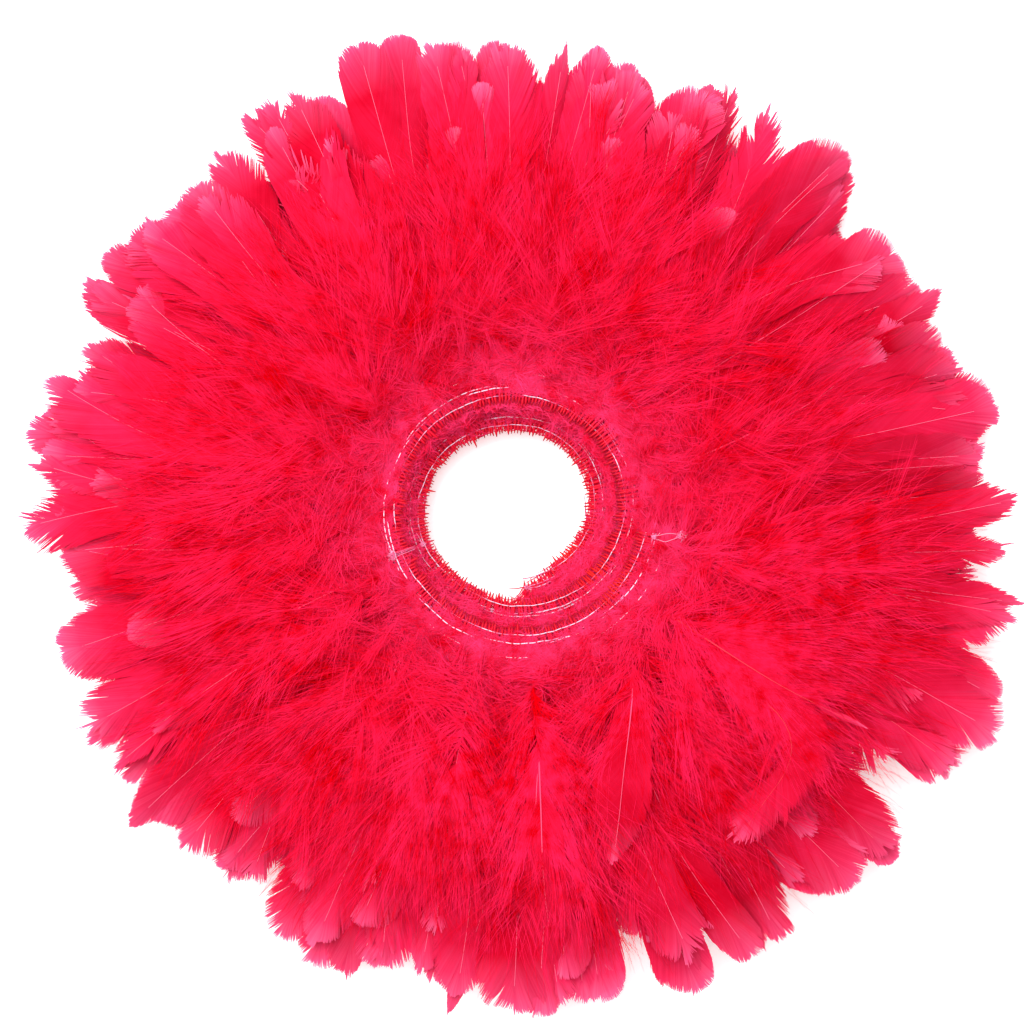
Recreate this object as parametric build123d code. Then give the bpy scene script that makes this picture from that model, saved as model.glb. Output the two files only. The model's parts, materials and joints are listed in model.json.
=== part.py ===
"""A strung feather boa: dyed body feathers stitched side by side on sewing thread, and the strip wound
into a flat coil of just over two turns, quills to the middle. Millimetres, +Z up, standing on Z = 0,
centred on its own box."""

from build123d import *
import os
from math import ceil, cos, degrees, radians, sin

# The coil. Angles along the strip are counted from its inner end, anticlockwise seen from above.
START_ANGLE = -80.0  # where the inner end lies, from +X
PANEL_ANGLE = 36.0  # the strip bends at panel joins, and is rigid in between
PANELS_PER_TURN = 10
PANELS_ON_TABLE = 9  # the next one steps over the inner end, so that the inner end can swing under it
# Radius of the main stitch row every eighth of a turn: the hand-wound coil is not a perfect spiral.
STITCH_RADII = [30.0, 32.6, 37.4, 38.9, 38.2, 39.2, 39.8, 38.0, 40.6, 44.8,
                48.8, 49.8, 49.2, 49.0, 48.4, 48.4, 51.6, 54.6, 57.0]
RADIUS_STEP = 45.0
RISE_PER_TURN = 10.2

# The stitched head of the strip, measured along a feather from the cut end of its quill.
MAIN_ROW = 7.0
THREAD_ROWS = [3.4, 6.6, 7.4, 12.3]  # a single row, the doubled main row and a light outer row
THREAD_RADIUS = 0.12
THREAD_GAP = 0.06
THREAD_END = 0.3  # degrees from a panel's side to the end of its threads
QUILL_RADIUS = 0.53
QUILL_PITCH = 1.45
QUILL_NIB = 1.8
NIB_RADIUS = 0.18
END_UNEVEN = 0.9  # how much the cut ends vary in length
END_TRIM = 5.5  # the strip's first quills are cut this much shorter, and less and less along TRIM_ANGLE
TRIM_ANGLE = 36.0
HEAD_LENGTH = 16.0

# Soft solids: the down that puffs round and under the head, then the flat vanes of the feather tips.
DOWN_LENGTH = 84.0
FEATHER_LENGTH = 145.0
LAST_LENGTH = 154.0  # the feathers of the last two panels are longer
LAST_PANELS = 20
LIP_INSET = 0.8  # the down under the head stops this far short of the quill ends
TOP_OVER_QUILL = 0.9  # the down's top, and the lifting axes, over the middle of the quills
DOWN_UNDER_QUILL = 7.8
VANE_DROP = 2.6
HEAD_DROP = QUILL_RADIUS + 2 * THREAD_RADIUS + 2 * THREAD_GAP
WALL_GAP = 0.4  # from a quill to the wall of down that hides the rest of it

# Strip sections: (name number, first panel, panels in it). Section 1 and the last three move on hinges.
SECTIONS = [(1, 0, 1)] + [(n + 2, 1 + 2 * n, 2) for n in range(9)] + [(11 + n, 19 + n, 1) for n in range(3)]
PANEL_COUNT = sum(count for _, _, count in SECTIONS)
# Half the room between two panels' down at each hinge. The inner end swings flat, so it needs more.
HINGE_ROOM = {1: 0.8, 19: 0.3, 20: 0.3, 21: 0.3}

# The thread tie that keeps the coil wound, and the knots at the two ends of the strip.
TIE_ALONG = 642.0
TIE_RADIUS = 0.2
KNOT_RADIUS = 0.75
KNOT_INSET = 1.5  # degrees from the end of the strip


def stitch_radius(along):
    """Radius of the main stitch row at an angle along the strip, smooth through the listed values."""
    place = min(max(along / RADIUS_STEP, 0.0), len(STITCH_RADII) - 1.001)
    index = int(place)
    share = place - index
    before = STITCH_RADII[max(index - 1, 0)]
    first, second = STITCH_RADII[index], STITCH_RADII[index + 1]
    after = STITCH_RADII[min(index + 2, len(STITCH_RADII) - 1)]
    slope_in, slope_out = (second - before) / 2, (after - first) / 2
    return (
        first * (2 * share**3 - 3 * share**2 + 1)
        + slope_in * (share**3 - 2 * share**2 + share)
        + second * (3 * share**2 - 2 * share**3)
        + slope_out * (share**3 - share**2)
    )


def at(along, offset, height=0.0):
    """The point a given distance outside the main stitch row."""
    angle = radians(START_ANGLE + along)
    radius = stitch_radius(along) + offset
    return Vector(radius * cos(angle), radius * sin(angle), height)


def cut_end(along):
    """Where the cut ends of the quills are from the main stitch row: less than zero, so inside it."""
    return END_TRIM * max(1.0 - along / TRIM_ANGLE, 0.0) - MAIN_ROW


def quill_height(panel):
    """Height of the middle of the quills in a panel: the strip climbs over its own first turn."""
    return DOWN_UNDER_QUILL + RISE_PER_TURN * panel / PANELS_PER_TURN


def floor_of(panel):
    """The first turn's down reaches the table; later panels lie on the turn below."""
    return 0.0 if panel < PANELS_ON_TABLE else quill_height(panel) - DOWN_UNDER_QUILL


def panel_span(panel):
    """The angles where a panel starts and ends, less the room at a hinge."""
    start, end = panel * PANEL_ANGLE, (panel + 1) * PANEL_ANGLE
    edge = stitch_radius(start) + cut_end(start) + LIP_INSET
    before, after = [degrees(HINGE_ROOM.get(join, 0.0) / edge) for join in (panel, panel + 1)]
    return start + before, end - after


def wedge(panel, inners, outer, bottom, top, round_outside=False):
    """One convex slab of a panel with radial sides, from its two inner corners to a line or arc outside."""
    start, end = panel_span(panel)
    a, b, far_a, far_b = at(start, inners[0]), at(end, inners[1]), at(start, outer), at(end, outer)
    if round_outside:
        outside = ThreePointArc(far_b, at((start + end) / 2, outer), far_a)
    else:
        outside = Line(far_b, far_a)
    outline = Polyline(far_a, a, b, far_b) + outside
    return Pos(0, 0, bottom) * extrude(make_face(outline), amount=top - bottom)


def down_solids(panel):
    """The thin down under the stitched head, and the deep down outside it."""
    height = quill_height(panel)
    lip_ends = [cut_end(along) + LIP_INSET for along in panel_span(panel)]
    wall = HEAD_LENGTH - MAIN_ROW
    lip = wedge(panel, lip_ends, wall, floor_of(panel), height - HEAD_DROP)
    deep = wedge(panel, [wall, wall], DOWN_LENGTH - MAIN_ROW, floor_of(panel), height + TOP_OVER_QUILL)
    return [lip, deep]


def vane_solids(panel):
    """The flat outer half of the feathers."""
    top = quill_height(panel) - VANE_DROP
    length = FEATHER_LENGTH if panel < LAST_PANELS else LAST_LENGTH
    inner, outer = DOWN_LENGTH - MAIN_ROW, length - MAIN_ROW
    return [wedge(panel, [inner, inner], outer, floor_of(panel), top, round_outside=True)]


def wall_distance(panel, angle):
    """Distance from the coil's middle to a panel's straight inner wall of down, in a given direction."""
    a, b = [at(along, HEAD_LENGTH - MAIN_ROW) for along in panel_span(panel)]
    along = b - a
    direction = Vector(cos(radians(angle)), sin(radians(angle)), 0)
    return (a.X * along.Y - a.Y * along.X) / (direction.X * along.Y - direction.Y * along.X)


def quill(length):
    """One bare quill: a slightly tapered nib where it was cut, then a straight round shaft."""
    outline = [(0, 0), (NIB_RADIUS, 0), (QUILL_RADIUS, QUILL_NIB), (QUILL_RADIUS, length), (0, length)]
    return revolve(Plane.XZ * make_face(Polyline(*outline, close=True)), Axis.Z)


def quill_angles(panel):
    """Angles along the strip of a panel's quills, evenly pitched on the main stitch row."""
    start, end = panel_span(panel)
    count = int(radians(end - start) * stitch_radius((start + end) / 2) / QUILL_PITCH)
    return [start + (end - start) * (n + 0.5) / count for n in range(count)]


def quill_solids(panel):
    """A panel's quills, side by side under the stitches, their cut ends slightly uneven."""
    found = []
    for number, along in enumerate(quill_angles(panel)):
        angle = START_ANGLE + along
        uneven = END_UNEVEN * sin(number * 2.4 + panel) * sin(number * 5.1)
        inner = stitch_radius(along) + cut_end(along) + uneven
        length = wall_distance(panel, angle) - inner - WALL_GAP
        shaft = Pos(inner, 0, quill_height(panel)) * Rot(0, 90, 0) * quill(length)
        found.append(Rot(0, 0, angle) * shaft)
    return found


def stitch_solids(panel):
    """The thread rows of a panel, the needle thread over the quills and the bobbin thread under them."""
    start, end = panel_span(panel)
    start, end = start + THREAD_END, end - THREAD_END
    lift = QUILL_RADIUS + THREAD_RADIUS + THREAD_GAP
    found = []
    for row in THREAD_ROWS:
        for height in (quill_height(panel) + lift, quill_height(panel) - lift):
            places = [at(along, row - MAIN_ROW, height) for along in (start, (start + end) / 2, end)]
            path = ThreePointArc(*places)
            found.append(sweep(Plane(origin=path @ 0, z_dir=path % 0) * Circle(THREAD_RADIUS), path=path))
    return found


def tie(along):
    """A tacking thread, over the outer turn's head, down past its quill ends and over the inner turn's."""
    outer, inner = int(along // PANEL_ANGLE), int((along - 360.0) // PANEL_ANGLE)
    lift = QUILL_RADIUS + 2 * (THREAD_RADIUS + THREAD_GAP) + TIE_RADIUS + THREAD_GAP
    high, low = quill_height(outer) + lift, quill_height(inner) + lift
    drop = -MAIN_ROW - END_UNEVEN - 2 * TIE_RADIUS - LIP_INSET
    inner_turn = stitch_radius(along - 360.0) - stitch_radius(along)
    start = at(along, THREAD_ROWS[2] - MAIN_ROW, high)
    end = at(along, inner_turn - MAIN_ROW + THREAD_ROWS[0], low)
    corners = [start, at(along, drop, high), at(along, drop, low), end]
    solid = Sphere(TIE_RADIUS)
    solid = Pos(*corners[1]) * solid + Pos(*corners[2]) * solid
    for a, b in zip(corners, corners[1:]):
        solid += Solid.make_cylinder(TIE_RADIUS, (b - a).length, Plane(origin=a, z_dir=b - a))
    for place in (start, end):
        solid += Pos(place.X, place.Y, place.Z + TIE_RADIUS) * Sphere(2 * TIE_RADIUS)
    return solid


def end_knot(along, panel):
    """The bunched thread that finishes the stitching at an end of the strip."""
    lift = QUILL_RADIUS + 2 * (THREAD_RADIUS + THREAD_GAP) + KNOT_RADIUS + THREAD_GAP
    ring = Torus(1.2 * KNOT_RADIUS, 0.45 * KNOT_RADIUS)
    return Pos(*at(along, 0.0, quill_height(panel) + lift)) * (Sphere(KNOT_RADIUS) + ring)


def make_pieces():
    """Every named piece, before the coil is centred."""
    pieces = {}
    for number, first, count in SECTIONS:
        panels = range(first, first + count)
        pieces[f"quills_{number:02d}"] = [s for p in panels for s in quill_solids(p)]
        pieces[f"stitching_{number:02d}"] = [s for p in panels for s in stitch_solids(p)]
        pieces[f"down_{number:02d}"] = [s for p in panels for s in down_solids(p)]
        pieces[f"vanes_{number:02d}"] = [s for p in panels for s in vane_solids(p)]
    pieces["coil_tie"] = [tie(TIE_ALONG)]
    pieces["inner_end_knot"] = [end_knot(KNOT_INSET, 0)]
    pieces["outer_end_knot"] = [end_knot(PANEL_COUNT * PANEL_ANGLE - KNOT_INSET, PANEL_COUNT - 1)]
    return pieces


def print_facts(pieces, box):
    """The sizes and hinge places that a reader needs, in the centred frame."""
    print("overall", round(box.size.X, 1), round(box.size.Y, 1))
    print("coil middle at", round(-box.center().X, 3), round(-box.center().Y, 3))
    print("quills", sum(len(solids) for name, solids in pieces.items() if name.startswith("quills")))
    length = sum(stitch_radius(along) * radians(1) for along in range(ceil(PANEL_COUNT * PANEL_ANGLE)))
    print("strip length on the main stitch row", round(length, 1))
    for join in HINGE_ROOM:
        place = at(join * PANEL_ANGLE, 0.0)
        x, y = round(place.X - box.center().X, 3), round(place.Y - box.center().Y, 3)
        height, outward = round(quill_height(join) + TOP_OVER_QUILL, 3), START_ANGLE + join * PANEL_ANGLE
        print("hinge before panel", join, "at", x, y, height, "outward angle", outward)


def main():
    os.makedirs("parts", exist_ok=True)
    pieces = make_pieces()
    vanes = [solid for name, solids in pieces.items() if name.startswith("vanes") for solid in solids]
    box = Compound(children=vanes).bounding_box()
    centring = Pos(-box.center().X, -box.center().Y, 0)
    for name, solids in pieces.items():
        moved = [solid for shape in solids for solid in (centring * shape).solids()]
        export_step(moved[0] if len(moved) == 1 else Compound(children=moved), f"parts/{name}.step")
    print_facts(pieces, box)


main()
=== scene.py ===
"""The looks of the strung feather boa: its feathers with down, vane, shaft and quill, and its thread."""

import json
from math import pi, radians

import bpy
import numpy as np
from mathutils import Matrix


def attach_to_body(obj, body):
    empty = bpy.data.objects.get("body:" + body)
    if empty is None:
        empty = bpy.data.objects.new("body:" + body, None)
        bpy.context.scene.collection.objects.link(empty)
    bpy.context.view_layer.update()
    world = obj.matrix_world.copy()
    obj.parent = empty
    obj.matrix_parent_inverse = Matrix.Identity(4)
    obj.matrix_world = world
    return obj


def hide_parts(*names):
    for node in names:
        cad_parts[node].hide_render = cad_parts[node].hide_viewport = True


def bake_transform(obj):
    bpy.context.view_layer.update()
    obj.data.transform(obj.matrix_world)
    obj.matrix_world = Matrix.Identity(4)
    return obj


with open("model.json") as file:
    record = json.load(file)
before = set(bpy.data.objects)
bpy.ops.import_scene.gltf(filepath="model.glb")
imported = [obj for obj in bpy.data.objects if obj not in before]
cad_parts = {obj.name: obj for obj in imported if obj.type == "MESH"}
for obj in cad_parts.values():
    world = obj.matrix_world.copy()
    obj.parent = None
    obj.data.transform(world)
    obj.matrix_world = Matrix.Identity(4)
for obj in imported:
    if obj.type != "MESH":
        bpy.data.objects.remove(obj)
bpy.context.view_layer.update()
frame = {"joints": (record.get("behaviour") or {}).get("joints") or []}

MM = 0.001

# The strip, in millimetres and degrees along it from its inner end, as in the CAD model.
START_ANGLE = -80.0
PANEL_ANGLE = 36.0
STITCH_RADII = np.array([30.0, 32.6, 37.4, 38.9, 38.2, 39.2, 39.8, 38.0, 40.6, 44.8,
                         48.8, 49.8, 49.2, 49.0, 48.4, 48.4, 51.6, 54.6, 57.0])
RADIUS_STEP = 45.0
RISE_PER_TURN = 10.2
FIRST_HEIGHT = 7.8
MAIN_ROW = 7.0
END_TRIM = 5.5
TRIM_ANGLE = 36.0
QUILL_RADIUS = 0.53
QUILL_PITCH = 1.45
HEAD_LENGTH = 16.0
PANELS = 22
# Each section's number, its first panel and how many panels it has.
COIL_SECTIONS = [(n + 2, 1 + 2 * n, 2) for n in range(9)]
SECTIONS = [(1, 0, 1), *COIL_SECTIONS, (11, 19, 1), (12, 20, 1), (13, 21, 1)]
STRIP_END = PANELS * PANEL_ANGLE
OUTER_TURN = STRIP_END - 360.0
BODY_OF_SECTION = {1: "inner_end", 11: "outer_end_a", 12: "outer_end_b", 13: "outer_end_c"}

# Feathers.
FEATHER_LENGTH = 145.0
# How far the feathers of the outer turn reach from the coil's middle, at even steps from its start.
REACH = np.array([191.0, 189.0, 193.0, 183.0, 193.0, 190.0, 190.0, 188.0, 184.0, 194.0, 201.0, 208.0, 207.0])
REACH_STEP = 30.0
SHAFT_SHARE = 0.93  # the shaft stops short of the vane's end
SAMPLES = 48  # points on each feather's middle line
FLOOR = 0.3  # nothing goes lower than this
CEILING = 41.0  # nothing but the shafts goes higher than this

rng = np.random.default_rng(11)


# ---------------------------------------------------------------- the strip

def stitch_radius(along):
    """Radius of the main stitch row, smooth through the listed values."""
    place = np.clip(np.asarray(along, float) / RADIUS_STEP, 0, len(STITCH_RADII) - 1.001)
    index = place.astype(int)
    share = place - index
    last = len(STITCH_RADII) - 1
    before, first, second, after = (STITCH_RADII[np.clip(index + k, 0, last)] for k in (-1, 0, 1, 2))
    slope_in, slope_out = (second - before) / 2, (after - first) / 2
    return (
        first * (2 * share**3 - 3 * share**2 + 1)
        + slope_in * (share**3 - 2 * share**2 + share)
        + second * (3 * share**2 - 2 * share**3)
        + slope_out * (share**3 - share**2)
    )


def cut_end(along):
    """Where the quills' cut ends are from the main stitch row."""
    return END_TRIM * np.maximum(1 - along / TRIM_ANGLE, 0) - MAIN_ROW


def quill_height(along):
    """Height of the middle of the quills, half a panel's step over the CAD panels' starts."""
    return FIRST_HEIGHT + RISE_PER_TURN * (np.asarray(along, float) - PANEL_ANGLE / 2) / 360.0


def coil_middle():
    """The middle of the coil, where the lifting hinges' axes meet."""
    joint = next(j for j in frame["joints"] if j["name"] == "outer_end_lift_b")
    place, axis = np.array(joint["pos_m"]) / MM, np.array(joint["axis"])
    return (place - axis * stitch_radius(20 * PANEL_ANGLE))[:2]


MIDDLE = coil_middle()


def outward(along):
    """Unit vectors outwards and anticlockwise at angles along the strip."""
    angle = np.radians(START_ANGLE + np.asarray(along, float))
    cos_, sin_, zero = np.cos(angle), np.sin(angle), np.zeros_like(angle)
    return np.stack([cos_, sin_, zero], -1), np.stack([-sin_, cos_, zero], -1)


def on_strip(along, offset, height):
    """Points a given distance outside the main stitch row, over the middle of the quills."""
    out, _ = outward(along)
    point = out * (stitch_radius(along) + offset)[..., None]
    point[..., :2] += MIDDLE
    point[..., 2] = quill_height(along) + height
    return point


def even_pitch(pitch):
    """Angles along the strip at an even pitch on the main stitch row, and the distance along it to each."""
    fine = np.linspace(0, STRIP_END, 8000)
    length = np.concatenate([[0], np.cumsum(np.diff(np.radians(fine)) * stitch_radius(fine[1:]))])
    count = int(length[-1] / pitch)
    run = (np.arange(count) + 0.5) * length[-1] / count
    return np.interp(run, length, fine), run


def smooth_noise(positions, spacing):
    """Smooth random values, about -1 to 1, that change over a given distance along positions."""
    knots = rng.normal(0, 0.6, int((positions.max() - positions.min()) / spacing) + 4)
    place = (positions - positions.min()) / spacing + 1
    index = place.astype(int)
    share = place - index
    share = share * share * (3 - 2 * share)
    return knots[index] * (1 - share) + knots[index + 1] * share


def smoothstep(x):
    x = np.clip(x, 0, 1)
    return x * x * (3 - 2 * x)


def soft_floor(value, floor, room):
    """value, kept over floor by a smooth bend within room of it."""
    over = (value - floor) / room
    return floor + room * np.where(over > 20, over, np.log1p(np.exp(np.minimum(over, 20))))


# ---------------------------------------------------------------- feathers

# Feathers that lie apart from the rest. Each is the one nearest an angle along the strip.
ODD_FEATHERS = [
    # One that curls back, one that crosses its neighbours with its shaft showing, and two narrow ones.
    dict(along=763, length=140, heading=0, bend=4, curl=-92, width=14.5, loft=11.0, tip_level=21.0, tone=0.1,
         raised=0, roll=12, ragged=1.8, vane_from=0.50),
    dict(along=752, length=106, heading=-44, bend=-12, width=14, loft=12.0, tip_level=21.0, tone=0.45,
         raised=0.6, roll=2, ragged=0.7, taper=0.9, vane_from=0.36),
    dict(along=768, length=113, heading=-1, bend=3, width=4.0, loft=12.0, tip_level=20.0, tone=-0.3,
         raised=1, roll=5, ragged=3.6, taper=1.2, vane_from=0.45),
    dict(along=708, length=155, heading=-2, bend=4, width=7.5, loft=3, tip_level=5, tone=0.0, taper=1.0),
    # Thin ends that stick out past the rest.
    dict(along=786, length=157, heading=5, bend=4, width=10.0, tip_level=5, taper=0.6, tone=0.3, ragged=2.4),
    dict(along=789, length=150, heading=9, bend=6, width=11.0, tip_level=6, taper=0.6, tone=0.1, ragged=2.0),
    dict(along=791, length=154, heading=12, bend=7, width=10.0, tip_level=7, taper=0.5, tone=0.4, ragged=2.6),
    dict(along=777, length=158, heading=-2, bend=2, width=10.0, tip_level=5, tone=0.2, ragged=2.4),
    dict(along=526, length=144, heading=0, bend=-1, width=3.5, tip_level=4, taper=1.0, tone=-0.2),
    # One whose vane has split into single barbs, and shorter ones on top with their shafts and vanes showing.
    dict(along=556, length=121, heading=4, bend=10, width=15, loft=5, tip_level=11, tone=0.2, ragged=4.5,
         raised=1, vane_from=0.40),
    dict(along=531, length=142, heading=-3, bend=5, width=14, loft=4.5, tip_level=9, tone=-0.1, raised=1,
         vane_from=0.34),
    dict(along=505, length=128, heading=-4, bend=7, width=13, loft=4.5, tip_level=10, tone=0.1, raised=1,
         vane_from=0.38),
    dict(along=486, length=137, heading=-8, bend=-6, width=14, loft=5, tip_level=10, tone=0.3, raised=1,
         vane_from=0.36),
    dict(along=476, length=140, heading=-2, bend=-8, width=15, loft=4, tip_level=10, tone=0.4, raised=1,
         vane_from=0.44),
    dict(along=455, length=132, heading=7, bend=9, width=14, loft=5, tip_level=9, tone=0.1, raised=1,
         vane_from=0.40),
    dict(along=575, length=134, heading=6, bend=-10, width=15, loft=4, tip_level=10, tone=-0.2, raised=1,
         vane_from=0.40),
    dict(along=598, length=130, heading=-6, bend=-12, width=13, loft=4, tip_level=9, tone=0.0, raised=1,
         vane_from=0.42),
    dict(along=672, length=131, heading=9, bend=8, width=13, loft=4, tip_level=8, tone=0.1, raised=1,
         vane_from=0.45),
]
TURNS = ("heading", "bend", "curl", "roll")  # listed above in degrees


class Feathers:
    """The middle lines of all the feathers, and how each one is turned, cupped and coloured."""

    def __init__(self):
        self.along, _ = even_pitch(QUILL_PITCH)
        count = len(self.along)
        self.along = self.along + rng.normal(0, 0.14, count)
        number = np.arange(count, dtype=float)
        self.outer = self.along > OUTER_TURN
        place = np.clip((self.along - OUTER_TURN) / REACH_STEP, 0, len(REACH) - 1)
        reach = np.interp(place, np.arange(len(REACH)), REACH)
        full = np.where(self.outer, reach - stitch_radius(self.along) + MAIN_ROW - 4, FEATHER_LENGTH - 4)
        self.length = full + 4 * smooth_noise(number, 6.0) + rng.normal(0, 3.6, count)
        short = rng.random(count) < 0.26
        self.length = np.where(short, self.length * rng.uniform(0.64, 0.93, count), self.length)
        self.uneven = rng.normal(0, 0.5, count).clip(-1.2, 1.2) - 1.4 * (rng.random(count) < 0.05)
        self.width = rng.normal(13.0, 2.0, count).clip(8, 17) * np.where(short, 0.9, 1)
        clump = smooth_noise(number, 4.5)
        self.heading = np.radians(12 * clump + 7 * smooth_noise(number, 15.0) + rng.normal(0, 4.0, count))
        self.bend = np.radians(10 * smooth_noise(number, 11.0) - 5 * clump + rng.normal(0, 10, count))
        self.curl = np.radians(rng.normal(0, 6, count))
        self.roll = np.radians(9 + 16 * smooth_noise(number, 4.0) + rng.normal(0, 13, count))
        self.cup = rng.normal(2.2, 1.3, count)
        self.ragged = rng.lognormal(0.15, 0.55, count).clip(0.4, 3.4)
        self.taper = rng.beta(1.2, 3.2, count)
        swell = smooth_noise(number, 4.5)
        self.loft = 3.0 + 6.5 * swell + rng.normal(0, 1.5, count) + np.where(short, 2.2, 0)
        self.tip_level = rng.uniform(0.6, 8.5, count) + np.where(short, 3.5, 0)
        # Tone: random, plus painted shade: feathers in low-lying clumps (small swell) are coloured redder and
        # darker.
        self.tone = (0.45 * smooth_noise(number, 3.0) - 0.65 * swell + rng.normal(0, 0.5, count)).clip(-1, 1)
        # The far side of the coil shows long vanes, and the near side more loose down.
        self.far_side = smoothstep(np.sin(np.radians(START_ANGLE + self.along)) + 0.6)
        self.vane_from = rng.normal(0.50, 0.04, count) - 0.14 * self.far_side * (rng.random(count) < 0.7)
        self.raised = (rng.random(count) < 0.03).astype(float)
        self.skew = np.radians(rng.normal(0, 3.5, count))
        for odd in ODD_FEATHERS:
            index = int(np.abs(self.along - odd["along"]).argmin())
            for key, value in odd.items():
                if key != "along":
                    getattr(self, key)[index] = radians(value) if key in TURNS else value
        self.height = quill_height(self.along) + rng.normal(0, 0.12, count)
        self.patch = 0.1 + 0.75 * smooth_noise(number, 5.0)  # how thickly fluff lies over the stitches
        self.lay_lines()

    def lay_lines(self):
        """Walks each middle line out from its cut end."""
        share = np.linspace(0, 1, SAMPLES)[None, :]
        self.step = self.length[:, None] / (SAMPLES - 1)
        s = share * self.length[:, None]
        turn = (
            self.skew[:, None] * (1 - smoothstep(s / 20))
            + self.heading[:, None] * smoothstep((s - 10) / 30)
            + self.bend[:, None] * share**1.3
            + self.curl[:, None] * smoothstep((share - 0.52) / 0.3)
        )
        ahead = np.cumsum(np.cos(turn) * self.step, 1) - np.cos(turn[:, :1]) * self.step
        aside = np.cumsum(np.sin(turn) * self.step, 1) - np.sin(turn[:, :1]) * self.step
        base = np.maximum(self.height - FIRST_HEIGHT, 0)
        tip = base * 0.85 + self.tip_level
        droop = smoothstep((share - 0.28) / 0.7)
        arch = np.sin(pi * np.clip((s - HEAD_LENGTH) / (0.72 * self.length[:, None]), 0, 1))
        height = self.height[:, None] * (1 - droop) + tip[:, None] * droop + self.loft[:, None] * arch
        out, round_ = outward(self.along)
        root = out * (stitch_radius(self.along) + cut_end(self.along) + self.uneven)[:, None]
        root[:, :2] += MIDDLE
        line = root[:, None, :] + out[:, None, :] * ahead[..., None] + round_[:, None, :] * aside[..., None]
        line[..., 2] = height
        self.line = line
        tangent = np.gradient(line, axis=1)
        self.tangent = tangent / np.linalg.norm(tangent, axis=-1, keepdims=True)

    def at(self, which, s):
        """Place and axes (forward, sideways, up) on feathers' middle lines, s mm from the cut ends."""
        place = np.clip(s / self.step[which, 0], 0, SAMPLES - 1.001)
        index = place.astype(int)
        share = (place - index)[..., None]
        point = self.line[which, index] * (1 - share) + self.line[which, index + 1] * share
        forward = self.tangent[which, index] * (1 - share) + self.tangent[which, index + 1] * share
        side = np.stack([-forward[..., 1], forward[..., 0], np.zeros_like(forward[..., 0])], -1)
        side /= np.linalg.norm(side, axis=-1, keepdims=True)
        up = np.cross(forward, side)
        roll = (self.roll[which] * smoothstep((s - HEAD_LENGTH) / 60))[..., None]
        cos_, sin_ = np.cos(roll), np.sin(roll)
        return point, forward, side * cos_ + up * sin_, up * cos_ - side * sin_

    def settle(self, which, points):
        """Keeps points over the table, under the turn above, over the turn below and out of the hole."""
        x, y, z = points[..., 0] - MIDDLE[0], points[..., 1] - MIDDLE[1], points[..., 2]
        z0 = self.height[which][:, None]
        along = self.along[which][:, None]
        radius = np.hypot(x, y)
        edge = stitch_radius(along) + cut_end(along) + 0.9
        push = np.where(radius < edge, (edge + 0.35 * (edge - radius)) / np.maximum(radius, 1), 1.0)
        points[..., 0], points[..., 1] = MIDDLE[0] + x * push, MIDDLE[1] + y * push
        under = radius - stitch_radius(along + 360) + MAIN_ROW + 1.5
        covered = (along + 360 < STRIP_END) * smoothstep(under / 2)
        turn_above = z0 + RISE_PER_TURN - 1.3 + 30 * (1 - covered)
        lid = np.where(covered > 0, np.minimum(turn_above, CEILING), CEILING)
        z = -soft_floor(-z, -lid, 0.8)
        z = soft_floor(z, np.maximum(FLOOR, z0 - FIRST_HEIGHT + FLOOR), 0.5)
        points[..., 2] = np.maximum(z, FLOOR)
        return points


def fibre(feathers, which, reach, barb, u):
    """What the materials read: feather tone (random, with painted shade on low-lying clumps), reach from
    quill to tip, barb tone (random; on the down also painted light from each strand's lean, on the shafts a
    painted highlight), place on the barb.
    """
    tone = 0.5 + 0.5 * feathers.tone[which][:, None]
    return np.stack([np.broadcast_to(part, reach.shape) for part in (tone, reach, barb[:, None], u)], -1)


# ---------------------------------------------------------------- meshes

def unit(vectors):
    return vectors / (np.linalg.norm(vectors, axis=-1, keepdims=True) + 1e-9)


def ribbon_mesh(points, facing, width, colours):
    """Flat ribbons along rows of points, with their flat sides towards facing."""
    side = unit(np.cross(facing, np.gradient(points, axis=1)))
    half = side * (width / 2)[..., None]
    vertices = np.stack([points - half, points + half], 2)
    count, steps = points.shape[:2]
    first = (np.arange(count)[:, None] * steps + np.arange(steps - 1)[None, :]) * 2
    quads = np.stack([first, first + 1, first + 3, first + 2], -1)
    return vertices.reshape(-1, 3), quads.reshape(-1, 4), np.repeat(colours[:, :, None, :], 2, 2)


def tube_mesh(points, radius, sides, colours):
    """Round tubes along rows of points."""
    tangent = unit(np.gradient(points, axis=1))
    across = unit(np.cross(tangent, np.array([0.0, 0.06, 1.0])))
    over = np.cross(across, tangent)
    angle = np.arange(sides) * 2 * pi / sides
    ring = across[..., None, :] * np.cos(angle)[:, None] + over[..., None, :] * np.sin(angle)[:, None]
    vertices = points[..., None, :] + ring * radius[..., None, None]
    count, steps = points.shape[:2]
    first = (np.arange(count)[:, None] * steps + np.arange(steps - 1)[None, :])[..., None] * sides
    here, there = np.arange(sides), (np.arange(sides) + 1) % sides
    quads = np.stack([first + here, first + there, first + sides + there, first + sides + here], -1)
    return vertices.reshape(-1, 3), quads.reshape(-1, 4), np.repeat(colours[:, :, None, :], sides, 2)


def join(parts):
    """One mesh's arrays from several, each (vertices, quads, colours)."""
    vertices, quads, colours, base = [], [], [], 0
    for v, q, c in parts:
        vertices.append(v)
        quads.append(q + base)
        colours.append(c.reshape(-1, 4))
        base += len(v)
    return np.concatenate(vertices), np.concatenate(quads), np.concatenate(colours)


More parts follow.
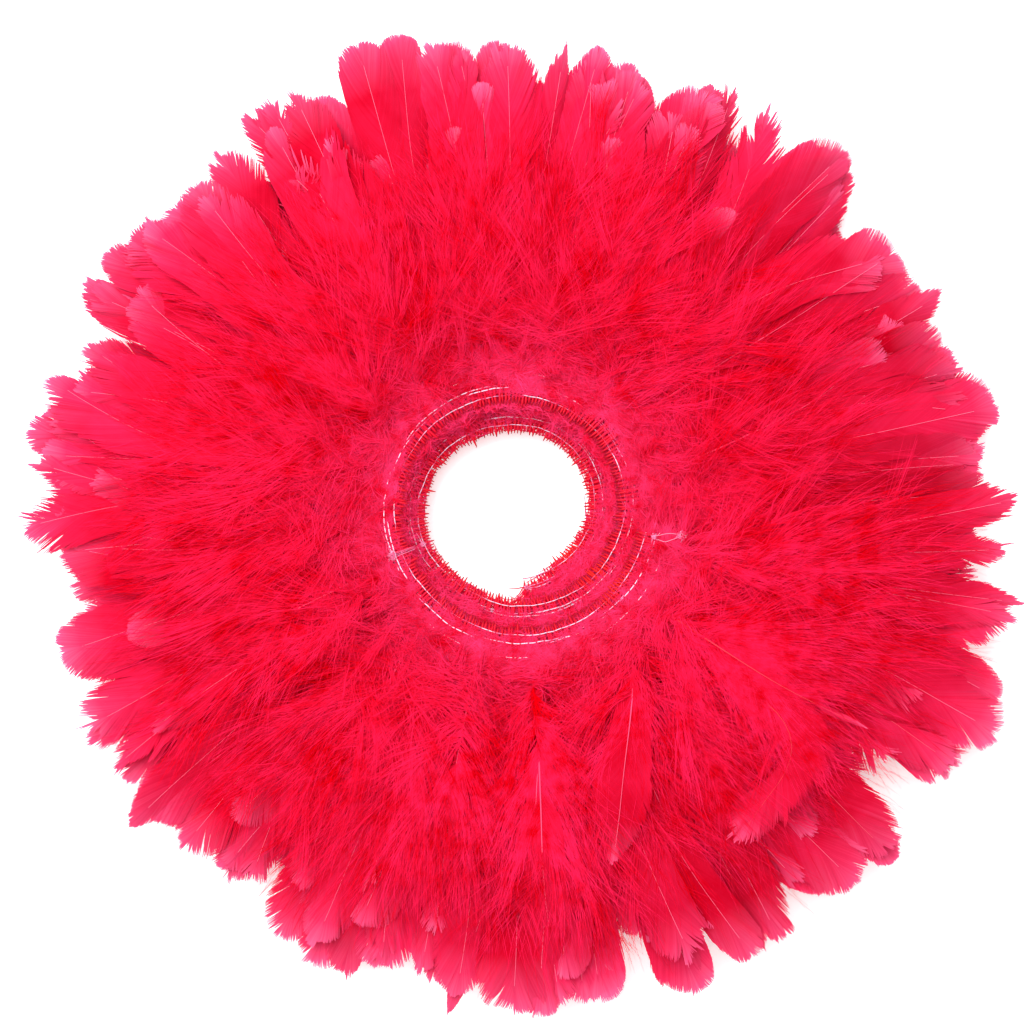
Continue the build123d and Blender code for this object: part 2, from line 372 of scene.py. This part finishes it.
def new_piece(name, parts, material):
    """A mesh piece, in metres, with its fibre colours and material."""
    vertices, quads, colours = join(parts)
    mesh = bpy.data.meshes.new(name)
    mesh.vertices.add(len(vertices))
    mesh.vertices.foreach_set("co", (vertices * MM).astype(np.float32).ravel())
    mesh.loops.add(quads.size)
    mesh.loops.foreach_set("vertex_index", quads.astype(np.int32).ravel())
    mesh.polygons.add(len(quads))
    mesh.polygons.foreach_set("loop_start", np.arange(0, quads.size, 4, dtype=np.int32))
    attribute = mesh.attributes.new("fibre", "FLOAT_COLOR", "POINT")
    attribute.data.foreach_set("color", colours.astype(np.float32).ravel())
    mesh.update(calc_edges=True)
    mesh.shade_smooth()
    mesh.materials.append(material)
    piece = bpy.data.objects.new(name, mesh)
    bpy.context.scene.collection.objects.link(piece)
    return piece


# ---------------------------------------------------------------- barbs

VANE_BARBS = 128  # on each side of a feather
VANE_STEPS = 6
ROUND_SHARE = 0.58  # the share of barbs that make the side of the vane, before the blunt tip


def vane_barbs(feathers, which):
    """The flat vane: barbs close side by side, their ends on a blunt outline, split here and there."""
    rows = len(which)
    feather = np.repeat(which, 2 * VANE_BARBS)
    sign = np.tile(np.repeat([1.0, -1.0], VANE_BARBS), rows)
    t = np.tile((np.arange(VANE_BARBS) + 0.5) / VANE_BARBS, 2 * rows)
    length, width = feathers.length[feather], feathers.width[feather]
    start = feathers.vane_from[feather] - 0.08
    s = length * (start + (SHAFT_SHARE - start) * t)
    taper = feathers.taper[feather]
    blunt = (0.075 + 0.12 * taper) * length
    lower = np.clip(t / ROUND_SHARE, 0, 1)
    angle = np.clip((t - ROUND_SHARE) / (1 - ROUND_SHARE), 0, 1) * pi / 2
    on_side = t < ROUND_SHARE
    side_end = length - blunt
    side_from = length * (start + 0.17)
    side_x = side_from + (side_end - side_from) * lower
    end_x = np.where(on_side, side_x, side_end + blunt * np.sin(angle) ** (0.75 + 0.5 * taper))
    narrow = 1 - 0.25 * taper * smoothstep((lower - 0.5) * 2)
    blunt_y = np.cos(angle) ** (0.65 + 0.6 * taper)
    end_y = width * narrow * np.where(on_side, 0.55 + 0.45 * smoothstep(lower), blunt_y)
    # Splits: neighbouring barbs hold together in groups, and each group leans its own way.
    ragged = feathers.ragged[feather]
    group = np.cumsum(rng.random(len(t)) < 0.05 + 0.03 * ragged)
    groups = group[-1] + 1
    lean = (rng.normal(0, 0.6, groups) + rng.standard_t(2.2, groups).clip(-5, 5) * 0.35)[group] * ragged
    of_barb, of_group = np.abs(rng.normal(0, 1, len(t))), np.abs(rng.normal(0, 1, groups))[group]
    fray = 1 - (0.028 * of_barb + 0.05 * of_group) * ragged
    jagged = np.abs(rng.normal(0, 0.45, len(t)) + rng.normal(0, 0.9, groups)[group]) * ragged
    end_x = s + (end_x - s) * fray + 0.9 * lean * (0.3 + 0.7 * np.sin(angle))
    end_x = end_x - jagged * smoothstep(angle / 0.5)
    end_y = np.maximum(end_y * fray + 0.5 * lean * on_side, 0.2)
    far = np.hypot(end_x - s, end_y)
    start_angle = np.radians(50 - 24 * t - 26 * t**6)
    ctrl_x, ctrl_y = s + 0.5 * far * np.cos(start_angle), 0.5 * far * np.sin(start_angle)
    u = np.linspace(0, 1, VANE_STEPS)[None, :]
    x = (1 - u) ** 2 * s[:, None] + 2 * u * (1 - u) * ctrl_x[:, None] + u**2 * end_x[:, None]
    y = 2 * u * (1 - u) * ctrl_y[:, None] + u**2 * end_y[:, None]
    point, forward, side, up = feathers.at(feather, s)
    cup = feathers.cup[feather][:, None] * (y / width[:, None]) ** 2
    flutter = (0.3 * ragged[:, None] + 0.15) * rng.normal(0, 1, groups)[group][:, None] * u**2
    points = (
        point[:, None, :]
        + forward[:, None, :] * (x - s[:, None])[..., None]
        + side[:, None, :] * (sign[:, None] * y)[..., None]
        + up[:, None, :] * (flutter - cup - 0.0016 * (x - s[:, None]) ** 2)[..., None]
    )
    points = feathers.settle(feather, points)
    facing = np.broadcast_to(up[:, None, :], points.shape)
    pitch = length * (SHAFT_SHARE - start) / VANE_BARBS
    broad = np.where(on_side, 1.0, 1.2)[:, None] * (0.75 + 0.5 * u)
    # Some groups thin out towards their ends, so that light shows between them.
    thin = np.where(rng.random(groups) < 0.35, 0.35, 0.9)[group][:, None]
    ribbon = pitch[:, None] * broad * np.where(u > 0.99, 0.25, 1 - (1 - thin) * smoothstep((u - 0.55) / 0.4))
    barb = 0.5 * rng.random(groups)[group] + 0.5 * rng.random(len(t))
    return ribbon_mesh(points, facing, ribbon, fibre(feathers, feather, x / length[:, None], barb, u))


def curved_barbs(angle, close, long_, steps):
    """Distances ahead and away from the shaft along barbs, which start at an angle and close to the tip."""
    u = np.linspace(0, 1, steps)[None, :]
    now = angle[:, None] - close[:, None] * u
    step = long_[:, None] / (steps - 1)
    ahead = np.cumsum(np.cos(now) * step, 1) - np.cos(now[:, :1]) * step
    away = np.cumsum(np.sin(now) * step, 1) - np.sin(now[:, :1]) * step
    return u, ahead, away


class Tufts:
    """Barbs grouped in small tufts that share most of their random turns."""

    def __init__(self, total, chance):
        self.index = np.cumsum(rng.random(total) < chance)
        self.total, self.count = total, self.index[-1] + 1

    def each(self, of_tuft, of_barb):
        return rng.normal(0, of_tuft, self.count)[self.index] + rng.normal(0, of_barb, self.total)

    def sign(self):
        return np.where(rng.random(self.count) < 0.5, -1.0, 1.0)[self.index]

    def tone(self, share):
        return share * rng.random(self.count)[self.index] + (1 - share) * rng.random(self.total)


DOWN_BARBS = 380
DOWN_STEPS = 7


def down_barbs(feathers, which):
    """Fluffy down: fine waving barbs that stand out all round the shaft, in small tufts."""
    rows = len(which)
    feather = np.repeat(which, DOWN_BARBS)
    total = len(feather)
    length = feathers.length[feather]
    share = (np.tile(np.linspace(0, 1, DOWN_BARBS), rows) + rng.normal(0, 0.01, total)).clip(0, 1)
    s = 9.5 + ((feathers.vane_from[feather] + 0.03) * length - 9.5) * share**0.95
    tufts = Tufts(total, 0.07)
    full = smoothstep((s - 7) / 30)
    wild = 1 - 0.5 * smoothstep((share - 0.25) / 0.5)
    long_ = (8.5 + 17 * full + 9 * share) * np.exp(tufts.each(0.22, 0.12))
    angle = np.radians(64 - 32 * share + wild * tufts.each(26, 7))
    lean = np.radians(11 + wild * tufts.each(32, 9))
    close = np.radians(26 + wild * tufts.each(30, 12))
    u, ahead, away = curved_barbs(angle, close, long_, DOWN_STEPS)
    wave = rng.uniform(9, 18, total)[:, None]
    phase = rng.uniform(0, 2 * pi, (2, total, 1))
    swing = (0.3 + 1.0 * u) * (u > 0)
    wiggle = [swing * np.sin(2 * pi * u * long_[:, None] / wave + phase[k]) for k in (0, 1)]
    point, forward, side, up = feathers.at(feather, s)
    out = side * (tufts.sign() * np.cos(lean))[:, None] + up * (0.85 * np.sin(lean))[:, None]
    points = (
        point[:, None, :]
        + forward[:, None, :] * (ahead + 0.7 * wiggle[0])[..., None]
        + out[:, None, :] * away[..., None]
        + side[:, None, :] * (0.6 * wiggle[1])[..., None]
        + up[:, None, :] * (0.5 * wiggle[0] * wiggle[1])[..., None]
    )
    points = feathers.settle(feather, points)
    facing = up[:, None, :] + rng.normal(0, 0.5, (total, 1, 3))
    ribbon = 0.25 * (1 - 0.75 * u**2) * np.exp(rng.normal(0, 0.2, total))[:, None]
    far = (s[:, None] + ahead) / length[:, None]
    # Painted light: strands that lean upwards get a paler barb tone, and those that lean downwards a darker
    # one, over a random tone by tuft.
    barb = (tufts.tone(0.6) + 0.35 * np.sin(lean)).clip(0, 1)
    return ribbon_mesh(points, facing, ribbon, fibre(feathers, feather, far, barb, u))


HAIR_BARBS = 150
HAIR_STEPS = 6


def hair_barbs(feathers, which):
    """The loose hair-like barbs between down and vane, which stream forward over the vanes."""
    feather = np.repeat(which, HAIR_BARBS)
    total = len(feather)
    length = feathers.length[feather]
    share = (np.tile(np.linspace(0, 1, HAIR_BARBS), len(which)) + rng.normal(0, 0.01, total)).clip(0, 1)
    s = length * (feathers.vane_from[feather] - 0.2 + 0.38 * share)
    tufts = Tufts(total, 0.12)
    long_ = (38 - 9 * feathers.far_side[feather]) * np.exp(tufts.each(0.25, 0.12))
    long_ = np.minimum(long_, np.maximum(0.95 * length - s, 8))
    angle = np.radians(40 + tufts.each(11, 5))
    close = np.radians(26 + tufts.each(11, 5))
    lean = np.radians(5 + tufts.each(13, 7))
    u, ahead, away = curved_barbs(angle, close, long_, HAIR_STEPS)
    phase = rng.uniform(0, 2 * pi, total)[:, None]
    wiggle = 0.7 * u * np.sin(2 * pi * u * long_[:, None] / 13 + phase)
    point, forward, side, up = feathers.at(feather, s)
    out = side * (tufts.sign() * np.cos(lean))[:, None] + up * np.sin(lean)[:, None]
    points = (
        point[:, None, :]
        + forward[:, None, :] * ahead[..., None]
        + out[:, None, :] * (away + wiggle)[..., None]
        + up[:, None, :] * (0.4 + 0.4 * wiggle)[..., None]
    )
    points = feathers.settle(feather, points)
    facing = up[:, None, :] + rng.normal(0, 0.35, (total, 1, 3))
    ribbon = 0.24 * (1 - 0.7 * u**2) * np.ones((total, 1))
    far = (s[:, None] + ahead) / length[:, None]
    return ribbon_mesh(points, facing, ribbon, fibre(feathers, feather, far, tufts.tone(0.6), u))


UNDER_BARBS = 56
FUZZ_BARBS = 140
FUZZ_STEPS = 5


def head_barbs(feathers, which, count, over):
    """The short fluff of the stitched head: packed under the quills, or over the stitches in patches."""
    feather = np.repeat(which, count)
    total = len(feather)
    tufts = Tufts(total, 0.2)
    if over:
        # Where another turn lies on top, the fluff swells up to it, and elsewhere it lies on the stitches.
        covered = ~feathers.outer[feather]
        s = np.where(covered, 4.5 + 8.5 * rng.random(total) ** 0.8, 3.6 + 14 * rng.random(total))
        patch = feathers.patch[feather] + 0.3 * np.sin(s / 2.2 + feathers.along[feather] / 14)
        bare = patch < rng.normal(0.0, 0.25, total)
        s = np.where(bare & (s < 9), rng.uniform(9, 14, total), s)
        swell = np.where(covered, 0.8 + 9.6 * smoothstep((s - 6.0) / 3.6), 0.8)
        level = 0.3 + rng.random(total) ** 0.7 * swell
        long_ = rng.uniform(4, 9, total)
    else:
        s = rng.uniform(1.3, 18, total)
        level = -rng.uniform(0.7, 7.0, total) * smoothstep(s / 4 + 0.35)
        long_ = rng.uniform(5, 12, total)
    heading = np.radians(tufts.each(50, 12))
    turn = np.radians(tufts.each(45, 20))
    u, ahead, away = curved_barbs(heading, turn, long_, FUZZ_STEPS)
    phase = rng.uniform(0, 2 * pi, total)[:, None]
    wiggle = 0.4 * u * np.sin(2 * pi * u * long_[:, None] / 6 + phase)
    point, forward, side, up = feathers.at(feather, s)
    point = point + up * level[:, None]
    points = (
        point[:, None, :]
        + forward[:, None, :] * ahead[..., None]
        + side[:, None, :] * (away + wiggle)[..., None]
        + up[:, None, :] * (0.4 * wiggle + (0.25 if over else 0.0) * u)[..., None]
    )
    points = feathers.settle(feather, points)
    facing = up[:, None, :] + rng.normal(0, 0.5, (total, 1, 3))
    ribbon = (0.2 if over else 0.5) * (1 - 0.7 * u**2) * np.ones((total, 1))
    far = np.full((total, FUZZ_STEPS), 0.05 if over else 0.0)
    barb = 0.15 + 0.85 * tufts.tone(0.5) if over else 0.25 + 0.5 * tufts.tone(0.5)
    return ribbon_mesh(points, facing, ribbon, fibre(feathers, feather, far, barb, u))


def shafts(feathers, which):
    """The middle shafts, from the cut quill to just short of the vane's end."""
    steps = 30
    share = np.linspace(0, 1, steps) ** 1.15
    feather = np.repeat(which[:, None], steps, 1)
    length = feathers.length[which][:, None]
    s = length * SHAFT_SHARE * share[None, :]
    points, _, _, up = feathers.at(feather, s)
    raised = feathers.raised[which][:, None]
    sunk = 2.2 * (1 - raised) * smoothstep((s - 13) / 8) * (1 - smoothstep((s / length - 0.45) / 0.2))
    lift = raised * 1.3 * smoothstep((s - 20) / 20) - sunk + 0.1
    nib = np.clip(s / 1.8, 0.3, 1)
    radius = QUILL_RADIUS * nib * (1 - 0.86 * smoothstep(s / (0.75 * length)))
    radius = radius * np.exp(rng.normal(0, 0.07, len(which)))[:, None]
    # Painted highlight: quills in the stretch of each turn that faces lower right are coloured orange-red as
    # if lit, over a small random tone.
    tone_and_painted_highlight = 0.15 * rng.random(len(which)) + 0.75 * np.exp(-((feathers.along[which] % 360 - 45) / 9) ** 2)
    colours = fibre(feathers, which, s / length, tone_and_painted_highlight, np.broadcast_to(share, s.shape))
    points = points + up * lift[..., None]
    points[..., 2] = -soft_floor(-points[..., 2], -CEILING - 0.4, 0.8)
    return tube_mesh(points, radius, 7, colours)


# ---------------------------------------------------------------- materials

def fresh_material(name):
    material = bpy.data.materials.new(name)
    material.use_nodes = True
    tree = material.node_tree
    tree.nodes.clear()
    return material, tree


def node(tree, kind, **inputs):
    made = tree.nodes.new(kind)
    for key, value in inputs.items():
        made.inputs[key.replace("_", " ")].default_value = value
    return made


def fibre_parts(tree):
    """Sockets for feather tone, reach, barb tone and place on the barb."""
    read = tree.nodes.new("ShaderNodeAttribute")
    read.attribute_name = "fibre"
    split = tree.nodes.new("ShaderNodeSeparateColor")
    tree.links.new(read.outputs["Color"], split.inputs["Color"])
    return (*split.outputs[:3], read.outputs["Alpha"])


def mottle(tree, scale):
    """Smooth random patches in space, from 0 to 1."""
    place = tree.nodes.new("ShaderNodeTexCoord")
    noise = node(tree, "ShaderNodeTexNoise", Scale=scale, Detail=3.0, Roughness=0.6)
    tree.links.new(place.outputs["Object"], noise.inputs["Vector"])
    spread = node(tree, "ShaderNodeMapRange")
    spread.inputs["From Min"].default_value = 0.33
    spread.inputs["From Max"].default_value = 0.67
    tree.links.new(noise.outputs["Fac"], spread.inputs["Value"])
    return spread.outputs["Result"]


def ramp(tree, source, stops):
    made = tree.nodes.new("ShaderNodeValToRGB")
    ramp_ = made.color_ramp
    while len(ramp_.elements) < len(stops):
        ramp_.elements.new(0.5)
    for element, (place, colour) in zip(ramp_.elements, stops):
        element.position = place
        element.color = (*colour, 1)
    tree.links.new(source, made.inputs["Fac"])
    return made.outputs["Color"]


def mix_colour(tree, share, first, second, blend="MIX"):
    made = tree.nodes.new("ShaderNodeMix")
    made.data_type = "RGBA"
    made.blend_type = blend
    for socket, value in zip((made.inputs[0], made.inputs[6], made.inputs[7]), (share, first, second)):
        if isinstance(value, bpy.types.NodeSocket):
            tree.links.new(value, socket)
        else:
            socket.default_value = value
    return made.outputs[2]


def maths(tree, operation, first, second):
    made = tree.nodes.new("ShaderNodeMath")
    made.operation = operation
    made.use_clamp = True
    for socket, value in zip(made.inputs, (first, second)):
        if isinstance(value, bpy.types.NodeSocket):
            tree.links.new(value, socket)
        else:
            socket.default_value = value
    return made.outputs[0]


def feather_shader(tree, colour, clear):
    """Barbs scatter light from in front, without gloss, and let some through from behind."""
    front = node(tree, "ShaderNodeBsdfPrincipled", Roughness=0.7)
    front.inputs["Specular IOR Level"].default_value = 0.0
    behind = tree.nodes.new("ShaderNodeBsdfTranslucent")
    tree.links.new(colour, front.inputs["Base Color"])
    tree.links.new(colour, behind.inputs["Color"])
    both = node(tree, "ShaderNodeMixShader")
    both.inputs[0].default_value = clear
    tree.links.new(front.outputs[0], both.inputs[1])
    tree.links.new(behind.outputs[0], both.inputs[2])
    out = tree.nodes.new("ShaderNodeOutputMaterial")
    tree.links.new(both.outputs[0], out.inputs["Surface"])


def vane_material():
    material, tree = fresh_material("feather_vane")
    tone, reach, barb, u = fibre_parts(tree)
    # Both ramps grow paler towards the tips: partly the vanes' own paler ends, partly painted light showing
    # through the thin tips.
    pink = ramp(tree, reach, [(0.40, (0.90, 0.009, 0.060)), (0.80, (0.90, 0.019, 0.098)),
                              (0.93, (0.90, 0.029, 0.13)), (1.0, (0.91, 0.14, 0.32))])
    red = ramp(tree, reach, [(0.40, (0.62, 0.0005, 0.009)), (0.85, (0.66, 0.002, 0.022)),
                             (1.0, (0.85, 0.07, 0.20))])
    patchy = maths(tree, "MULTIPLY", mottle(tree, 45.0), 0.4)
    # Painted shade: the feather tone darkens low-lying clumps towards red. Random tone and patches add to it.
    toned = mix_colour(tree, maths(tree, "ADD", maths(tree, "MULTIPLY", tone, 0.7), patchy), pink, red)
    fine = ramp(tree, barb, [(0.0, (0.90, 0.55, 0.7)), (0.5, (1, 1, 1)), (1.0, (1, 1.7, 1.35))])
    striped = mix_colour(tree, 0.85, toned, fine, "MULTIPLY")
    feather_shader(tree, striped, 0.30)
    return material


def down_material():
    material, tree = fresh_material("feather_down")
    tone, reach, barb, u = fibre_parts(tree)
    deep = ramp(tree, reach, [(0.0, (0.82, 0.003, 0.035)), (0.3, (0.78, 0.0, 0.005)),
                              (0.8, (0.76, 0.0, 0.006))])
    pale = ramp(tree, reach, [(0.0, (0.99, 0.075, 0.28)), (0.14, (0.98, 0.036, 0.18)),
                              (0.3, (0.97, 0.018, 0.110)), (0.8, (0.97, 0.022, 0.13))])
    patches = maths(tree, "ADD", maths(tree, "MULTIPLY", mottle(tree, 60.0), 0.30),
                    maths(tree, "MULTIPLY", mottle(tree, 190.0), 0.30))
    # How pale a strand is: its barb tone (partly painted light from its lean) and random patches.
    light = maths(tree, "ADD", maths(tree, "MULTIPLY", barb, 0.5), patches)
    sharp = ramp(tree, light, [(0.32, (0, 0, 0)), (0.78, (1, 1, 1))])
    mixed = mix_colour(tree, sharp, deep, pale)
    # Painted shade: the feather tone pulls the down of low-lying clumps towards dark red, with random tone.
    toned = mix_colour(tree, maths(tree, "MULTIPLY", tone, 0.25), mixed, (0.76, 0.0, 0.008, 1))
    feather_shader(tree, toned, 0.35)
    return material


def plain_shader(tree, colour, roughness, shine):
    shader = node(tree, "ShaderNodeBsdfPrincipled", Roughness=roughness)
    shader.inputs["Specular IOR Level"].default_value = shine
    tree.links.new(colour, shader.inputs["Base Color"])
    out = tree.nodes.new("ShaderNodeOutputMaterial")
    tree.links.new(shader.outputs[0], out.inputs["Surface"])


def quill_material():
    material, tree = fresh_material("feather_quill")
    tone, reach, barb, u = fibre_parts(tree)
    base = ramp(tree, reach, [(0.0, (0.25, 0.0, 0.010)), (0.012, (0.58, 0.0, 0.018)),
                              (0.05, (0.74, 0.001, 0.035)), (0.12, (0.85, 0.006, 0.07)),
                              (0.4, (0.95, 0.06, 0.18)), (1.0, (0.97, 0.22, 0.38))])
    # The third channel paints the orange-red highlight on one stretch of quills, over a small random tone.
    toned = mix_colour(tree, maths(tree, "MULTIPLY", barb, 0.9), base, (0.80, 0.012, 0.004, 1))
    plain_shader(tree, toned, 0.4, 0.15)
    return material


def thread_material():
    material, tree = fresh_material("sewing_thread")
    tone, reach, barb, u = fibre_parts(tree)
    twist = node(tree, "ShaderNodeTexWave", Scale=900.0, Distortion=1.5)
    dyed = ramp(tree, barb, [(0.0, (0.93, 0.05, 0.19)), (0.45, (0.95, 0.26, 0.55)),
                             (0.85, (0.98, 0.72, 0.95))])
    colour = mix_colour(tree, 0.25, dyed, twist.outputs["Color"], "MULTIPLY")
    plain_shader(tree, colour, 0.3, 0.5)
    return material


# ---------------------------------------------------------------- thread

THREAD_ROWS = [(3.5, 0.13), (6.5, 0.16), (7.5, 0.16), (12.2, 0.14)]  # place on the head, thickness
STITCH = 3.1


class ThreadRow:
    """One stitched row along the whole strip, so that it runs on from section to section."""

    def __init__(self, row, thick, top):
        self.thick, self.top = thick, top
        self.along, run = even_pitch(0.3)
        phase = pi * run / STITCH + rng.uniform(0, 2 * pi)
        over = np.abs(np.sin(phase))  # the thread dives through the head at every stitch hole
        dive = 1.1 * (1 - smoothstep(over / 0.45))
        wander = 0.22 * smooth_noise(run, 9.0) + 0.14 * smooth_noise(run, 3.0)
        self.offset = row - MAIN_ROW + wander
        self.glow = (0.45 + 0.9 * smooth_noise(run, 11.0) + 0.3 * smooth_noise(run, 2.0)).clip(0, 1)
        self.height = (QUILL_RADIUS + 0.05 + 0.6 * self.glow - dive) * (1 if top else -1)

    def piece(self, first, last):
        chosen = (self.along >= first - 0.3) & (self.along <= last + 0.3)
        points = on_strip(self.along[chosen], self.offset[chosen], self.height[chosen])[None]
        colours = np.zeros((1, chosen.sum(), 4))
        colours[0, :, 2] = self.glow[chosen]
        return tube_mesh(points, self.thick * (0.75 + 0.6 * colours[..., 2]), 6, colours)


def loose_thread(corners, spread, thick, glow):
    """A thread that wanders from corner to corner, smooth in between."""
    corners = np.array(corners, float)
    steps = 14
    share = np.linspace(0, 1, steps, endpoint=False)
    padded = np.concatenate([corners[:1], corners, corners[-1:]])
    points = []
    for k in range(len(corners) - 1):
        a, b, c, d = padded[k:k + 4]
        for t in share:
            points.append(0.5 * (2 * b + (c - a) * t + (2 * a - 5 * b + 4 * c - d) * t**2
                                 + (3 * b - a - 3 * c + d) * t**3))
    points = np.array(points)
    run = np.arange(len(points), dtype=float)
    for axis in range(3):
        points[:, axis] += spread * smooth_noise(run, 9.0) * (0.4 if axis == 2 else 1)
    colours = np.zeros((1, len(points), 4))
    colours[0, :, 2] = glow
    return tube_mesh(points[None], np.full((1, len(points)), thick), 6, colours)


def tangle(middle, out, round_, size, strands, tail):
    """A knot of thread: loops that cross each other in a small heap, each with a loose tail."""
    parts = []
    for number in range(strands):
        turn = rng.uniform(0, 2 * pi)
        loop = []
        for k in range(7):
            angle = turn + k * 2.2
            reach = size * rng.uniform(0.3, 1.0)
            place = middle + out * reach * np.cos(angle) + round_ * reach * np.sin(angle)
            loop.append(place + np.array([0, 0, 0.25 + 0.5 * rng.random() + 0.12 * number]))
        way = out * abs(rng.normal(0.4, 0.5)) + round_ * rng.normal(0, 1.0)
        loop.append(middle + way * tail * 0.5 + np.array([0, 0, 0.8]))
        loop.append(middle + way * tail + np.array([0, 0, 0.5]))
        parts.append(loose_thread(loop, 0.3, 0.07, rng.uniform(0.0, 0.8)))
    return parts


TIE_ALONG = 640.0


def tie_parts():
    """The tacking thread that holds the outer turn to the turn inside it, with a heap of knots over each."""
    along = TIE_ALONG
    out, round_ = (v for v in outward(along))
    inner = stitch_radius(along - 360) - stitch_radius(along)
    over = QUILL_RADIUS + 0.35
    parts = []
    for k in range(4):
        aside = round_ * (k - 1.5) * 0.55
        high = on_strip(np.array(along), np.array(0.3), np.array(over)) + aside
        edge = on_strip(np.array(along), np.array(-MAIN_ROW - 1.6), np.array(0.3)) + aside * 0.8
        low_edge = on_strip(np.array(along - 360), np.array(-inner - MAIN_ROW - 1.4), np.array(over + 0.4))
        low_edge = low_edge + aside * 0.6
        low = on_strip(np.array(along - 360), np.array(-MAIN_ROW + 4.0), np.array(over)) + aside * 0.6
        parts.append(loose_thread([high, edge, low_edge, low], 0.2, 0.08, 0.1 + 0.15 * k))
    top = on_strip(np.array(along), np.array(0.6), np.array(over))
    bottom = on_strip(np.array(along - 360), np.array(-MAIN_ROW + 4.0), np.array(over))
    return parts + tangle(top, out, round_, 2.0, 7, 4.5) + tangle(bottom, out, round_, 1.3, 4, 3.0)


def end_parts(along, trailing, strands):
    """The bunched thread at an end of the strip, with or without loose ends that trail outwards."""
    out, round_ = (v for v in outward(along))
    middle = on_strip(np.array(along), np.array(0.0), np.array(QUILL_RADIUS + 0.3))
    parts = tangle(middle, out, round_, 1.3, strands, 2.2)
    if trailing:
        far = middle + out * 10.5 + round_ * 2.5 + np.array([0, 0, 1.6])
        parts += tangle(far, out, round_, 2.4, 4, 2.0)
        for k in range(2):
            bend = middle + out * 5 + round_ * (2.5 - 3.5 * k) + np.array([0, 0, 1.0])
            parts.append(loose_thread([middle, bend, far], 0.5, 0.075, 0.6))
    return parts


# ---------------------------------------------------------------- assembly

def section_of(along):
    panel = np.clip((along / PANEL_ANGLE).astype(int), 0, PANELS - 1)
    found = np.zeros(len(along), int)
    for number, first, count in SECTIONS:
        found[(panel >= first) & (panel < first + count)] = number
    return found


def attach(piece, section, slot, *nodes):
    """Hides the CAD nodes that a piece stands in for, then puts the piece on the coil's body, or, in an end
    section, bakes its placing into its mesh.
    """
    if nodes:
        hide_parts(*nodes)
    if section not in BODY_OF_SECTION:
        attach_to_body(piece, "coil")
        return
    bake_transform(piece)


def build_section(feathers, threads, section, first, last, materials):
    which = np.flatnonzero(section_of(feathers.along) == section)
    label = f"{section:02d}"
    fluff = new_piece(f"fluff_{label}", [down_barbs(feathers, which)], materials["down"])
    attach(fluff, section, "down", f"down_{label}")
    fuzz = [head_barbs(feathers, which, UNDER_BARBS, False), head_barbs(feathers, which, FUZZ_BARBS, True)]
    attach(new_piece(f"head_fuzz_{label}", fuzz, materials["down"]), section, "down")
    attach(new_piece(f"hair_{label}", [hair_barbs(feathers, which)], materials["down"]), section, "down")
    vane = new_piece(f"vane_{label}", [vane_barbs(feathers, which)], materials["vane"])
    attach(vane, section, "vane", f"vanes_{label}")
    shaft = new_piece(f"shafts_{label}", [shafts(feathers, which)], materials["quill"])
    attach(shaft, section, "quill", f"quills_{label}")
    rows = [row.piece(first, last) for row in threads]
    attach(new_piece(f"threads_{label}", rows, materials["thread"]), section, "thread", f"stitching_{label}")


def build():
    feathers = Feathers()
    threads = [ThreadRow(row, thick, top) for row, thick in THREAD_ROWS for top in (True, False)]
    materials = {"down": down_material(), "vane": vane_material(), "quill": quill_material(),
                 "thread": thread_material()}
    for number, panel, count in SECTIONS:
        first, last = panel * PANEL_ANGLE, (panel + count) * PANEL_ANGLE
        build_section(feathers, threads, number, first, last, materials)
    thread = materials["thread"]
    attach(new_piece("tie_threads", tie_parts(), thread), 9, "thread", "coil_tie")
    attach(new_piece("inner_end_threads", end_parts(2.5, False, 3), thread), 1, "thread", "inner_end_knot")
    outer_end = new_piece("outer_end_threads", end_parts(STRIP_END - 1.5, True, 4), thread)
    attach(outer_end, 13, "thread", "outer_end_knot")


# ---------------------------------------------------------------- studio

VIEW_WIDTH = 399.4  # how much of the table the picture shows, mm
VIEW_LENS = 85.0
VIEW_OFFSET = np.array([0.6, 0.3])  # the picture's middle from the coil's
VIEW_PLANE = 22.0  # height at which the width holds


def make_studio():
    scene = bpy.context.scene
    scene.view_settings.view_transform = "Standard"
    world = bpy.data.worlds.new("studio")
    world.use_nodes = True
    world.node_tree.nodes["Background"].inputs["Color"].default_value = (1, 1, 1, 1)
    world.node_tree.nodes["Background"].inputs["Strength"].default_value = 0.76
    scene.world = world
    bpy.ops.mesh.primitive_plane_add(size=6.0, location=(0, 0, -0.0002))
    floor = bpy.context.object
    floor.name = "floor"
    material, tree = fresh_material("pale_floor")
    shader = node(tree, "ShaderNodeBsdfPrincipled", Roughness=0.9)
    shader.inputs["Base Color"].default_value = (0.92, 0.92, 0.92, 1)
    shader.inputs["Emission Color"].default_value = (1, 1, 1, 1)
    shader.inputs["Emission Strength"].default_value = 0.35
    out = tree.nodes.new("ShaderNodeOutputMaterial")
    tree.links.new(shader.outputs[0], out.inputs["Surface"])
    floor.data.materials.append(material)
    key = bpy.data.lights.new("key", "AREA")
    key.shape, key.size, key.energy = "DISK", 1.6, 28.0
    lamp = bpy.data.objects.new("key", key)
    lamp.location = (-0.40, 0.50, 1.2)
    lamp.rotation_euler = (radians(-22.6), radians(-17), 0)
    scene.collection.objects.link(lamp)
    camera = bpy.data.cameras.new("camera")
    camera.lens = VIEW_LENS
    camera.sensor_width = 36.0
    eye = bpy.data.objects.new("camera", camera)
    x, y = (MIDDLE + VIEW_OFFSET) * MM
    eye.location = (x, y, VIEW_PLANE * MM + VIEW_WIDTH * MM * VIEW_LENS / 36.0)
    scene.collection.objects.link(eye)
    scene.camera = eye


build()
make_studio()
